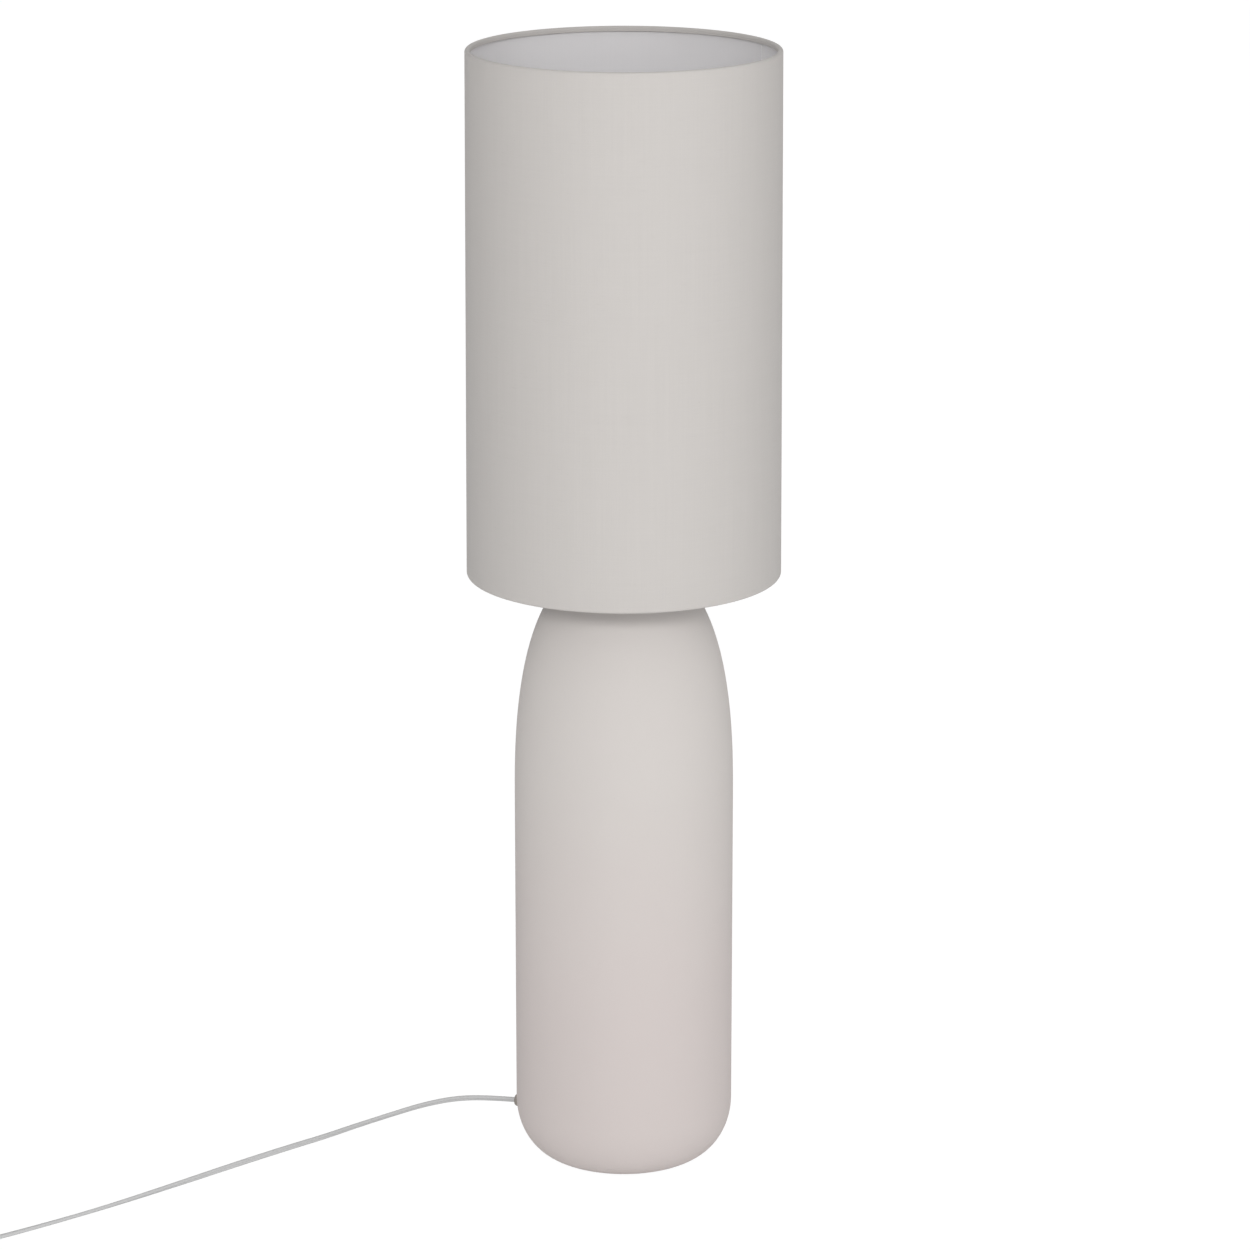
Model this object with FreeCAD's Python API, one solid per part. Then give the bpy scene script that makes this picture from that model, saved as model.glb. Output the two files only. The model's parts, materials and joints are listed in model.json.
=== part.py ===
"""Column floor lamp: a bottle-shaped cast body under a tall open drum shade, with its corded foot switch.

Millimetres. +Z is up, and the origin lies on the floor on the lamp's axis. The cord leaves towards -X.
Each sub-part is written to parts/NAME.step.
"""
import FreeCAD, Part
import math
import os

V = FreeCAD.Vector
UP = V(0, 0, 1)
ALONG = V(1, 0, 0)

# ---- driving dimensions ----

# body: hollow casting with a soft foot and a domed shoulder
body_radius = 96.7
body_height = 540.0          # floor to the flat seat on the shoulder
body_wall = 8.0
shoulder_start = 336.0
shoulder_exponent = 2.4      # 2 is an ellipse, more is fuller
seat_radius = 22.0
foot_flat_radius = 59.5
foot_height = 50.0
kick_wall = 8.0              # floor and raised centre of the casting
pocket_radius = 26.0         # pocket under the raised centre, for the clamp nut
pocket_depth = 10.0

# felt pad
pad_radius = 52.0
pad_thickness = 3.0
pad_recess = 2.0
pad_clearance = 0.3

# tie tube, clamp parts and cap
tube_radius = 5.0
tube_bore_radius = 3.9
tube_clearance = 0.15
tube_below_nut = 0.5
tube_in_holder = 10.0        # how far the tube reaches into the lampholder
plate_radius = 22.0
plate_thickness = 2.5
nut_across_flats = 14.0
clamp_nut_height = 5.0
cap_thickness = 3.0
cap_dome = 1.2
lock_nut_height = 3.5

# cord bush through the wall
gland_azimuth = 167.5        # degrees from +X
gland_height = 37.0
gland_flange_radius = 5.8
gland_flange = 5.6
gland_barrel_radius = 4.0
gland_round = 2.2
gland_hole_clearance = 0.2
gland_boss_radius = 9.5
gland_boss = 5.0             # how far the inner boss stands in from the wall
gland_nut_across_flats = 13.0
gland_nut_height = 4.0
gland_thread = 6.0           # barrel left inside the boss for the nut

# cord
cord_radius = 2.6
cord_bore_clearance = 0.15
inner_bend_radius = 30.0
window_width = 6.4
core_radius = 1.1
core_offset = 1.25

# lampholder
holder_entry_radius = 8.0
holder_entry = 5.0
holder_cap_radius = 20.6
holder_cap_height = 24.0
holder_cap_slope = 8.0
holder_wall = 1.8
holder_shell_radius = 19.6
holder_shell_top = 61.0
holder_lip_radius = 15.2
holder_lip = 1.5
holder_skirt = 8.0
holder_fit = 0.2
block_height = 12.0
block_base = 17.0
sleeve_radius = 14.0
sleeve_wall = 0.5
sleeve_height = 26.0
contact_rise = 4.0
contact_half_length = 9.0
contact_width = 6.0
contact_thickness = 0.5
terminal_offset = 9.0
terminal_head_radius = 2.8
terminal_head = 2.0
terminal_shank_radius = 1.5
terminal_shank = 6.0

# collar rings and the shade's fitter ring between them
ring_base = 26.0             # above the lampholder's lower face
ring_radius = 28.0
ring_thickness = 4.0
ring_scallops = 12
scallop_radius = 3.0
fitter_inner_radius = 21.0
fitter_outer_radius = 31.0
fitter_thickness = 2.0
fitter_play = 0.2

# screw-in bulb
tip_gap = 0.2
tip_radius = 4.5
tip_height = 1.4
insulator_height = 3.6
bulb_cap_radius = 13.1
bulb_cap_height = 24.5
bulb_collar_radius = 28.2
bulb_housing_height = 37.5
bulb_radius = 30.0
bulb_glass = 1.5
bulb_board_radius = 24.0
bulb_board_thickness = 1.6

# shade
shade_radius = 137.5
shade_height = 461.0
shade_drop = 37.7            # fitter ring's underside down to the shade's lower edge
cover_thickness = 0.7
rim_width = 4.7
wire_radius = 1.0
layer_gap = 0.3
hem_gap = 0.3
liner_thickness = 0.4
seam_azimuth = 30.0
seam_width = 12.0
seam_thickness = 0.5
arm_radius = 1.75
arm_count = 3
arm_azimuth = 90.0
arm_knee_radius = 96.0
arm_foot_length = 9.0
arm_slope_length = 29.0
arm_bend_radius = 10.0
arm_gap = 0.15
arm_hole_clearance = 0.3
weld_depth = 2.0

# foot switch on the cord
switch_length = 52.0
switch_width = 32.0
switch_height = 19.0
switch_wall = 2.0
switch_round = 4.5
switch_base_height = 3.5
switch_cord_height = 7.0
switch_sleeve = 7.0
switch_sleeve_radius = 5.2
switch_sleeve_tip_radius = 4.0
button_radius = 9.5
button_proud = 4.0
button_flange_radius = 11.4
button_flange = 3.6
button_clearance = 0.3
button_play = 0.4
button_travel = 3.0
button_round = 1.5
unit_length = 20.0
unit_width = 16.0
switch_post_radius = 3.0
switch_screw_x = 17.5
switch_screw_y = 10.0
switch_screw_radius = 1.4
switch_screw_length = 9.0
switch_screw_head_radius = 2.8
switch_screw_head = 1.6

# flat two-pin plug
relief_length = 30.0
relief_start_radius = 3.6
relief_end_radius = 5.4
plug_length = 37.0
plug_width = 35.3
plug_neck_width = 15.0
plug_thickness = 13.7
plug_round = 2.6
pin_radius = 2.0
pin_length = 19.0
pin_spacing = 18.6
pin_root = 6.0
pin_root_radius = 1.5

# coil of the length that is put away
coil_outer_radius = 40.5     # middle of the outermost turn
turn_pitch = 5.7
turns_before_climb = 3.25
turns_total = 7.0
tie_thickness = 0.9
tie_width = 9.0
tie_clearance = 0.15
tie_side_clearance = 0.35
tie_azimuth = 0.0
floor_gap = 0.05

# ---- places worked out from them ----

foot_plane = pad_thickness - pad_recess
inner_radius = body_radius - body_wall
foot_centre = foot_plane + foot_height
inner_floor = pad_thickness + kick_wall
pocket_top = pad_thickness + pocket_depth
kick_top = pocket_top + kick_wall
holder_base = body_height + cap_thickness + lock_nut_height
block_top = holder_base + block_base + block_height
lower_ring_base = holder_base + ring_base
fitter_base = lower_ring_base + ring_thickness + fitter_play
upper_ring_base = fitter_base + fitter_thickness + fitter_play
shade_bottom = fitter_base - shade_drop
shade_top = shade_bottom + shade_height
cord_floor = cord_radius + floor_gap
coil_floor = floor_gap + tie_thickness + tie_clearance + cord_radius
coil_layer = turn_pitch


# ---- general helpers ----

def point(radius, height):
    """A point of a turned outline, at a radius from the axis."""
    return V(radius, 0, height)


def line(*corners):
    """Straight edges from corner to corner."""
    return [Part.makeLine(a, b) for a, b in zip(corners, corners[1:]) if (b - a).Length > 1e-6]


def arc(start, middle, end):
    return [Part.Arc(start, middle, end).toShape()]


def quarter(centre, half_radius, half_height, exponent, count=9):
    """A quarter of a superellipse, from its side (centre plus half_radius) to its end (half_height)."""
    points = []
    for step in range(count):
        angle = math.pi / 2 * step / (count - 1)
        side = math.cos(angle) ** (2 / exponent) if step < count - 1 else 0.0
        end = math.sin(angle) ** (2 / exponent)
        points.append(centre + V(half_radius * side, 0, half_height * end))
    curve = Part.BSplineCurve()
    upwards = V(0, 0, math.copysign(1, half_height))
    inwards = V(-math.copysign(1, half_radius), 0, 0)
    curve.interpolate(Points=points, InitialTangent=upwards, FinalTangent=inwards)
    return [curve.toShape()]


def turned(edges, angle=360.0, axis=UP):
    """The solid that a closed outline sweeps about the axis."""
    outline = Part.Wire(Part.__sortEdges__(edges))
    return Part.Face(outline).revolve(V(0, 0, 0), axis, angle)


def cylinder(radius, height, base, direction=UP):
    return Part.makeCylinder(radius, height, base, direction)


def ring(inner, outer, height, base_height):
    """A flat ring about the lamp's axis."""
    base = V(0, 0, base_height)
    return cylinder(outer, height, base).cut(cylinder(inner, height, base))


def hexagon(across_flats, height, hole_radius, base_height):
    """A hex nut about the lamp's axis."""
    corner = across_flats / math.sqrt(3)
    corners = [V(corner * math.cos(a), corner * math.sin(a), base_height)
               for a in [math.radians(60 * i) for i in range(7)]]
    blank = Part.Face(Part.makePolygon(corners)).extrude(V(0, 0, height))
    return blank.cut(cylinder(hole_radius, height, V(0, 0, base_height)))


def turned_about_x(edges):
    """Like turned, for a piece whose outline lies along +X."""
    return turned(edges, axis=ALONG)


def placed(shape, azimuth, offset):
    """The shape turned about Z by azimuth and then moved."""
    copy = shape.copy()
    copy.rotate(V(0, 0, 0), UP, azimuth)
    copy.translate(offset)
    return copy


def heading(azimuth):
    """The level unit vector at an azimuth."""
    return V(math.cos(math.radians(azimuth)), math.sin(math.radians(azimuth)), 0)


def step(start, length, azimuth, height):
    """The next point of a route: so far along a heading, at that height."""
    there = start + heading(azimuth) * length
    return V(there.x, there.y, height)


# ---- routes and tubes ----

def corner_radius(before, corner, after):
    """The largest arc that leaves a tenth of the shorter run straight."""
    run_in = (corner - before).Length
    run_out = (after - corner).Length
    turn = (corner - before).getAngle(after - corner)
    return 0.45 * min(run_in, run_out) / math.tan(turn / 2)


def rounded(points, radius=None):
    """Edges of a route whose corners are tangent arcs, and the radii of the arcs."""
    edges = []
    radii = []
    start = points[0]
    for before, corner, after in zip(points, points[1:], points[2:]):
        bend = radius or corner_radius(before, corner, after)
        turn = (corner - before).getAngle(after - corner)
        reach = bend * math.tan(turn / 2)
        into = (corner - before).normalize()
        out = (after - corner).normalize()
        first = corner - into * reach
        last = corner + out * reach
        inside = (out - into).normalize()
        middle = corner + inside * (bend / math.cos(turn / 2) - bend)
        edges += line(start, first)
        edges += arc(first, middle, last)
        radii.append(bend)
        start = last
    return edges + line(start, points[-1]), radii


def tube(edges, radius):
    """A round tube along tangent edges."""
    path = Part.Wire(edges)
    start = edges[0].valueAt(edges[0].FirstParameter)
    towards = edges[0].tangentAt(edges[0].FirstParameter)
    section = Part.Wire([Part.makeCircle(radius, start, towards)])
    pipe = Part.BRepOffsetAPI.MakePipeShell(path)
    pipe.add(section)
    pipe.build()
    pipe.makeSolid()
    return pipe.shape()


def report_tube(name, shape, edges, radius, radii=()):
    """Prints how a tube's volume compares with its section times its length."""
    length = sum(edge.Length for edge in edges)
    share = shape.Volume / (math.pi * radius ** 2 * length)
    text = f"{name}: length {length:.1f} mm, volume over section times length {share:.5f}"
    if radii:
        text += ", radii " + " ".join(f"{value:.0f}" for value in radii)
    print(text)


def arc_middle(start, towards, end):
    """The middle of the arc that leaves start along towards and reaches end."""
    chord = end - start
    side = towards - chord * (towards.dot(chord) / chord.dot(chord))
    turn = towards.getAngle(chord)
    return start + chord * 0.5 + side.normalize() * (chord.Length / 2 * math.tan(turn / 2))


def biarc(start, leaving, end, arriving):
    """Two arcs that meet smoothly and join two points along their given directions."""
    gap = end - start
    both = leaving + arriving
    spread = 2 * (1 - leaving.dot(arriving))
    along = gap.dot(both)
    reach = (math.sqrt(along ** 2 + spread * gap.dot(gap)) - along) / spread
    joint = (start + end + (leaving - arriving) * reach) * 0.5
    first = arc(start, arc_middle(start, leaving, joint), joint)
    return first + arc(joint, arc_middle(end, arriving * -1, joint), end)


# ---- body and what clamps it ----

def foot_surface(height):
    """The outer radius of the foot at a height."""
    below = max(0.0, (foot_centre - height) / foot_height)
    return foot_flat_radius + (body_radius - foot_flat_radius) * math.sqrt(1 - below ** 2)


gland_seat = foot_surface(gland_height - gland_flange_radius) - gland_hole_clearance
gland_face = gland_seat + gland_flange
boss_face = inner_radius - gland_boss
gland_centre = V(0, 0, gland_height)


def make_body():
    """Cast shell with its cord hole, spot-faced outside and bossed inside."""
    inner_foot = V(foot_flat_radius, 0, foot_centre)
    hole = tube_radius + tube_clearance
    recess = pad_radius + pad_clearance
    inner_seat = seat_radius - body_wall / 2
    under_seat = body_height - body_wall
    outline = line(point(recess, foot_plane), point(foot_flat_radius, foot_plane))
    outline += quarter(inner_foot, body_radius - foot_flat_radius, -foot_height, 2)
    outline += line(point(body_radius, foot_centre), point(body_radius, shoulder_start))
    outline += quarter(point(seat_radius, shoulder_start), body_radius - seat_radius,
                       body_height - shoulder_start, shoulder_exponent)
    outline += line(point(seat_radius, body_height), point(hole, body_height),
                    point(hole, under_seat), point(inner_seat, under_seat))
    outline += quarter(point(inner_seat, shoulder_start), inner_radius - inner_seat,
                       under_seat - shoulder_start, shoulder_exponent)
    outline += line(point(inner_radius, shoulder_start), point(inner_radius, foot_centre))
    outline += quarter(inner_foot, inner_radius - foot_flat_radius, inner_floor - foot_centre, 2)
    outline += line(point(foot_flat_radius, inner_floor), point(pocket_radius + kick_wall, inner_floor),
                    point(pocket_radius + kick_wall, kick_top), point(hole, kick_top),
                    point(hole, pocket_top), point(pocket_radius, pocket_top),
                    point(pocket_radius, pad_thickness), point(recess, pad_thickness),
                    point(recess, foot_plane))
    shell = turned(outline)
    boss = cylinder(gland_boss_radius, gland_boss, V(boss_face, 0, 0), ALONG)
    bore = cylinder(gland_barrel_radius + gland_hole_clearance, body_radius, V(body_radius / 2, 0, 0), ALONG)
    spot = cylinder(gland_flange_radius + gland_hole_clearance, body_wall, V(gland_seat, 0, 0), ALONG)
    shell = shell.fuse(placed(boss, gland_azimuth, gland_centre))
    for cutter in (bore, spot):
        shell = shell.cut(placed(cutter, gland_azimuth, gland_centre))
    return shell


def make_tie_tube():
    """Hollow threaded tube with a window where the cord turns up into it."""
    bottom = pocket_top - plate_thickness - clamp_nut_height - tube_below_nut
    length = holder_base + tube_in_holder - bottom
    barrel = ring(tube_bore_radius, tube_radius, length, bottom)
    window = Part.makeBox(2 * tube_radius, window_width, inner_bend_radius, V(0, -window_width / 2, 0))
    return barrel.cut(placed(window, gland_azimuth, gland_centre))


def make_top_cap():
    """Turned disc on the shoulder's seat, with a low dome to its edge."""
    top = body_height + cap_thickness
    hole = tube_radius + tube_clearance
    flat = nut_across_flats / 2 + 2 * cap_dome
    edge_top = top - cap_dome
    middle = point((flat + seat_radius) / 2, top - cap_dome / 4)
    outline = line(point(flat, top), point(hole, top), point(hole, body_height),
                   point(seat_radius, body_height), point(seat_radius, edge_top))
    outline += arc(point(seat_radius, edge_top), middle, point(flat, top))
    return turned(outline)


def make_gland_bush():
    """Bush with a soft flange outside and a threaded barrel through the wall."""
    bore = cord_radius + cord_bore_clearance
    barrel_end = boss_face - gland_thread
    rounded_from = gland_face - gland_round
    diagonal = gland_round * math.sqrt(0.5)
    middle = V(rounded_from + diagonal, 0, gland_flange_radius - gland_round + diagonal)
    outline = line(V(gland_face, 0, gland_flange_radius - gland_round), V(gland_face, 0, bore),
                   V(barrel_end, 0, bore), V(barrel_end, 0, gland_barrel_radius),
                   V(gland_seat, 0, gland_barrel_radius), V(gland_seat, 0, gland_flange_radius),
                   V(rounded_from, 0, gland_flange_radius))
    outline += arc(V(rounded_from, 0, gland_flange_radius), middle,
                   V(gland_face, 0, gland_flange_radius - gland_round))
    return placed(turned_about_x(outline), gland_azimuth, gland_centre)


def make_gland_nut():
    nut = hexagon(gland_nut_across_flats, gland_nut_height, gland_barrel_radius, -gland_nut_height)
    nut.rotate(V(0, 0, 0), V(0, 1, 0), 90)
    nut.translate(V(boss_face, 0, 0))
    return placed(nut, gland_azimuth, gland_centre)


def make_inner_cord():
    """From the bush's face to the tube's axis, round the bend and up to the tube's end."""
    outward = heading(gland_azimuth)
    mouth = outward * gland_face + gland_centre
    top = V(0, 0, holder_base + tube_in_holder)
    edges, radii = rounded([mouth, gland_centre, top], inner_bend_radius)
    shape = tube(edges, cord_radius)
    report_tube("inner_cord", shape, edges, cord_radius, radii)
    return shape


def make_core_wires():
    """The cord's two cores, spread from its end to the terminal screws."""
    start = holder_base + tube_in_holder
    level = holder_base + block_base - terminal_head - core_radius - cord_bore_clearance
    cores = []
    for side in (-1, 1):
        points = [V(side * core_offset, 0, start), V(side * core_offset, 0, (start + level) / 2),
                  V(side * (core_offset + level - start), 0, level), V(side * terminal_offset, 0, level)]
        edges, _ = rounded(points)
        cores.append(tube(edges, core_radius))
    return Part.Compound(cores)


# ---- lampholder and bulb ----

def make_holder_cap():
    """Lower cap with its tube entry, opening upwards like a cup."""
    hole = tube_radius + tube_clearance
    slope_top = holder_entry + holder_cap_slope
    inner = holder_cap_radius - holder_wall
    outer = [(hole, 0), (holder_entry_radius, 0), (holder_entry_radius, holder_entry),
             (holder_cap_radius, slope_top), (holder_cap_radius, holder_cap_height)]
    inside = [(inner, holder_cap_height), (inner, slope_top + holder_wall),
              (holder_entry_radius, holder_entry + holder_wall), (hole, holder_entry + holder_wall), (hole, 0)]
    return turned(line(*[point(r, holder_base + h) for r, h in outer + inside]))


def make_holder_shell():
    """Threaded outer shell: a skirt in the cap, the barrel for the collar rings and a lip at its mouth."""
    skirt_outer = holder_cap_radius - holder_wall - holder_fit
    skirt_inner = skirt_outer - holder_wall
    barrel_inner = holder_shell_radius - holder_wall
    shoulder = holder_cap_height + holder_fit / 2
    profile = [(skirt_inner, holder_cap_height - holder_skirt), (skirt_outer, holder_cap_height - holder_skirt),
               (skirt_outer, shoulder), (holder_shell_radius, shoulder),
               (holder_shell_radius, holder_shell_top - holder_lip / 2),
               (holder_shell_radius - holder_lip / 2, holder_shell_top), (holder_lip_radius, holder_shell_top),
               (holder_lip_radius, holder_shell_top - holder_lip), (barrel_inner, holder_shell_top - holder_lip),
               (barrel_inner, block_base + block_height), (skirt_inner, block_base + block_height),
               (skirt_inner, holder_cap_height - holder_skirt)]
    return turned(line(*[point(r, holder_base + h) for r, h in profile]))


def terminal_places():
    return [V(side * terminal_offset, 0, holder_base + block_base) for side in (-1, 1)]


def make_contact_block():
    """Insulating block with the two terminal holes in its underside."""
    radius = holder_cap_radius - 2 * holder_wall - 2 * holder_fit
    block = cylinder(radius, block_height, V(0, 0, holder_base + block_base))
    for place in terminal_places():
        block = block.cut(cylinder(terminal_shank_radius, terminal_shank, place))
    return block


def make_terminal_screws():
    screws = []
    for place in terminal_places():
        head = cylinder(terminal_head_radius, terminal_head, place - UP * terminal_head)
        screws.append(head.fuse(cylinder(terminal_shank_radius, terminal_shank, place)).removeSplitter())
    return Part.Compound(screws)


def make_centre_contact():
    """Sprung strip that arches up to the bulb's tip."""
    def rail(rise, reach):
        ends = [V(-reach, 0, block_top), V(reach, 0, block_top)]
        return Part.Arc(ends[0], V(0, 0, block_top + rise), ends[1]).toShape()
    outer = rail(contact_rise, contact_half_length)
    inner = rail(contact_rise - contact_thickness, contact_half_length - 2 * contact_thickness)
    feet = [Part.makeLine(V(side * (contact_half_length - 2 * contact_thickness), 0, block_top),
                          V(side * contact_half_length, 0, block_top)) for side in (-1, 1)]
    strip = Part.Face(Part.Wire(Part.__sortEdges__([outer, inner] + feet)))
    strip.translate(V(0, -contact_width / 2, 0))
    return strip.extrude(V(0, contact_width, 0))


def make_collar_ring(base_height):
    """Collar ring with finger scallops round its edge."""
    blank = ring(holder_shell_radius + holder_fit, ring_radius, ring_thickness, base_height)
    for index in range(ring_scallops):
        centre = heading(360 / ring_scallops * (index + 0.5)) * (ring_radius + 0.6 * scallop_radius)
        blank = blank.cut(cylinder(scallop_radius, ring_thickness, centre + UP * base_height))
    return blank


bulb_tip_base = block_top + contact_rise + tip_gap
bulb_insulator_base = bulb_tip_base + tip_height
bulb_cap_base = bulb_insulator_base + insulator_height
bulb_housing_base = bulb_cap_base + bulb_cap_height
bulb_collar = bulb_housing_base + bulb_housing_height
bulb_centre = bulb_collar + math.sqrt(bulb_radius ** 2 - bulb_collar_radius ** 2)


def make_bulb_insulator():
    outline = line(point(0, bulb_insulator_base), point(tip_radius + 1, bulb_insulator_base),
                   point(bulb_cap_radius, bulb_cap_base), point(0, bulb_cap_base), point(0, bulb_insulator_base))
    return turned(outline)


def make_bulb_housing():
    """Flared shell between the screw cap and the globe."""
    flare = V(bulb_cap_radius, 0, bulb_collar)
    outline = line(point(0, bulb_collar), point(0, bulb_housing_base), point(bulb_cap_radius, bulb_housing_base))
    half_width = bulb_collar_radius - bulb_cap_radius
    middle = flare + V(half_width * math.sqrt(0.5) - 2, 0, -bulb_housing_height * math.sqrt(0.5) + 4)
    outline += arc(point(bulb_cap_radius, bulb_housing_base), middle, point(bulb_collar_radius, bulb_collar))
    outline += line(point(bulb_collar_radius, bulb_collar), point(0, bulb_collar))
    return turned(outline)


def make_bulb_dome():
    """Opal globe, a thin shell that stands on the housing's collar."""
    centre = V(0, 0, bulb_centre)
    def globe(radius):
        whole = Part.makeSphere(radius, centre)
        keep = cylinder(2 * bulb_radius, 2 * bulb_radius, V(0, 0, bulb_collar))
        return whole.common(keep)
    return globe(bulb_radius).cut(globe(bulb_radius - bulb_glass))


# ---- shade ----

rim_arch = rim_width / 2
rim_centre_radius = shade_radius - rim_arch
hem_radius = shade_radius - rim_width
wire_centre_radius = hem_radius + cover_thickness + layer_gap + wire_radius
liner_outer_radius = shade_radius - cover_thickness - layer_gap
liner_inner_radius = liner_outer_radius - liner_thickness
top_arch = shade_top - rim_arch
bottom_arch = shade_bottom + rim_arch
top_wire_height = top_arch - hem_gap
bottom_wire_height = bottom_arch + hem_gap


def hem(arch_height, wire_height, way):
    """One rolled hem: over the wire, down its inner side and tucked behind it. way is 1 at the top."""
    inner_arch = rim_arch - cover_thickness
    toe_inside = wire_height - way * (wire_radius + hem_gap)
    toe_outside = toe_inside - way * cover_thickness
    leg = hem_radius + cover_thickness
    tucked = liner_inner_radius - hem_gap
    edges = arc(point(shade_radius, arch_height), point(rim_centre_radius, arch_height + way * rim_arch),
                point(hem_radius, arch_height))
    edges += line(point(hem_radius, arch_height), point(hem_radius, toe_outside), point(tucked, toe_outside),
                  point(tucked, toe_inside), point(leg, toe_inside), point(leg, arch_height))
    edges += arc(point(leg, arch_height), point(rim_centre_radius, arch_height + way * inner_arch),
                 point(shade_radius - cover_thickness, arch_height))
    return edges


def wall_strip(inner, outer, bottom, top, width):
    """A narrow upright strip of a cylinder's wall, centred on the seam."""
    angle = math.degrees(width / outer)
    outline = line(point(inner, bottom), point(outer, bottom), point(outer, top), point(inner, top),
                   point(inner, bottom))
    strip = turned(outline, angle)
    return placed(strip, seam_azimuth - angle / 2, V(0, 0, 0))


def arm_path():
    """The route of one arm in the plane of azimuth 0: level, down, and level to the lower wire."""
    height = fitter_base + fitter_thickness / 2
    end = wire_centre_radius - wire_radius - arm_gap
    foot = end - arm_foot_length
    knee = min(arm_knee_radius, foot - arm_slope_length)
    return [V(fitter_outer_radius - weld_depth, 0, height), V(knee, 0, height),
            V(foot, 0, bottom_wire_height), V(end, 0, bottom_wire_height)]


def arm_azimuths():
    return [arm_azimuth + 360 / arm_count * index for index in range(arm_count)]


def make_shade_cover():
    """Cloth drum with a rolled hem at each end, an overlapped seam and slots for the arms."""
    inner = shade_radius - cover_thickness
    outline = hem(top_arch, top_wire_height, 1) + hem(bottom_arch, bottom_wire_height, -1)
    outline += line(point(shade_radius, bottom_arch), point(shade_radius, top_arch))
    outline += line(point(inner, bottom_arch), point(inner, top_arch))
    cover = turned(outline)
    seam = wall_strip(shade_radius - cover_thickness / 2, shade_radius + seam_thickness, bottom_arch, top_arch,
                      seam_width)
    cover = cover.fuse(seam)
    slot_radius = arm_radius + arm_hole_clearance
    slot = cylinder(slot_radius, arm_foot_length, V(wire_centre_radius - arm_foot_length, 0, 0), ALONG)
    above = Part.makeBox(arm_foot_length, 2 * slot_radius, rim_width,
                         V(wire_centre_radius - arm_foot_length, -slot_radius, 0))
    for azimuth in arm_azimuths():
        for cutter in (slot, above):
            cover = cover.cut(placed(cutter, azimuth, V(0, 0, bottom_wire_height)))
    return cover


def make_shade_liner():
    liner = ring(liner_inner_radius, liner_outer_radius, top_arch - bottom_arch, bottom_arch)
    lap = wall_strip(liner_inner_radius - seam_thickness, liner_inner_radius + liner_thickness / 2,
                     bottom_arch + rim_width, top_arch - rim_width, seam_width)
    return liner.fuse(lap)


def make_wire(height):
    return Part.makeTorus(wire_centre_radius, wire_radius, V(0, 0, height))


def make_spider():
    """Fitter ring with its welded arms."""
    spider = ring(fitter_inner_radius, fitter_outer_radius, fitter_thickness, fitter_base)
    edges, _ = rounded(arm_path(), arm_bend_radius)
    arm = tube(edges, arm_radius)
    for azimuth in arm_azimuths():
        spider = spider.fuse(placed(arm, azimuth, V(0, 0, 0)))
    return spider


# ---- the free cord ----

def run_points():
    """From the bush over the floor to the switch: it droops, lands and crosses to the front left."""
    mouth = heading(gland_azimuth) * gland_face + gland_centre
    points = [mouth, step(mouth, 22, gland_azimuth, gland_height)]
    points += [V(-150, 34, 34), V(-182, 42, 24.5), V(-215, 43.5, 13), V(-245, 33, 6.8), V(-272, 15, 3.8)]
    points += [V(-301, -6, cord_floor), V(-344, -44, cord_floor), V(-391, -87.5, cord_floor)]
    points += [V(-437, -129, cord_floor), V(-476, -161.5, cord_floor), V(-514, -190.5, cord_floor)]
    points += [V(-544, -212, cord_floor), V(-567, -222, 4), V(-582, -224, switch_cord_height)]
    return points + [step(points[-1], 14, 180, switch_cord_height)]


switch_inlet = run_points()[-1]
switch_half = switch_length / 2 + switch_sleeve
switch_centre = V(switch_inlet.x - switch_half, switch_inlet.y, 0)
switch_outlet = switch_inlet - ALONG * (2 * switch_half)


def link_points():
    """From the switch round to the coil."""
    points = [switch_outlet]
    for length, azimuth, height in ((16, 180, switch_cord_height), (18, 152, 5.8), (22, 122, 4.4),
                                    (22, 98, coil_floor), (20, 90, coil_floor)):
        points.append(step(points[-1], length, azimuth, height))
    return points


coil_start = link_points()[-1]
coil_end_run = 2 * cord_radius
coil_centre = coil_start + V(coil_outer_radius, coil_end_run, -coil_start.z)


def coil_place(turns):
    """A point of the coil's centreline after so many turns, clockwise from the west side."""
    middle = turns_before_climb + 0.25
    radius = coil_outer_radius - turn_pitch * min(turns, turns_total - turns)
    climb = min(1.0, max(0.0, (turns - turns_before_climb) * 2))
    height = coil_floor + coil_layer * (1 - math.cos(math.pi * climb)) / 2
    assert abs(turns_total - 2 * middle) < 1e-9
    return coil_centre + heading(180 - 360 * turns) * radius + UP * height


def coil_edges():
    """Biarcs of a quarter turn between places on the spiral, with a straight run at each end."""
    count = int(round(turns_total * 4))
    small = 0.01
    places = [coil_place(turns_total * index / count) for index in range(count + 1)]
    ways = []
    for index in range(count + 1):
        turns = turns_total * index / count
        if index in (0, count):
            ways.append(V(0, 1, 0))
            continue
        ways.append((coil_place(turns + small) - coil_place(turns - small)).normalize())
    edges = line(places[0] - ways[0] * coil_end_run, places[0])
    for index in range(count):
        edges += biarc(places[index], ways[index], places[index + 1], ways[index + 1])
    return edges + line(places[-1], places[-1] + ways[-1] * coil_end_run)


def tail_points():
    """From the coil's upper end down to the plug."""
    start = coil_place(turns_total) + V(0, coil_end_run, 0)
    points = [start]
    for length, azimuth, height in ((14, 90, start.z), (16, 75, plug_thickness / 2 + floor_gap),
                                    (14, 60, plug_thickness / 2 + floor_gap)):
        points.append(step(points[-1], length, azimuth, height))
    return points


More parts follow.
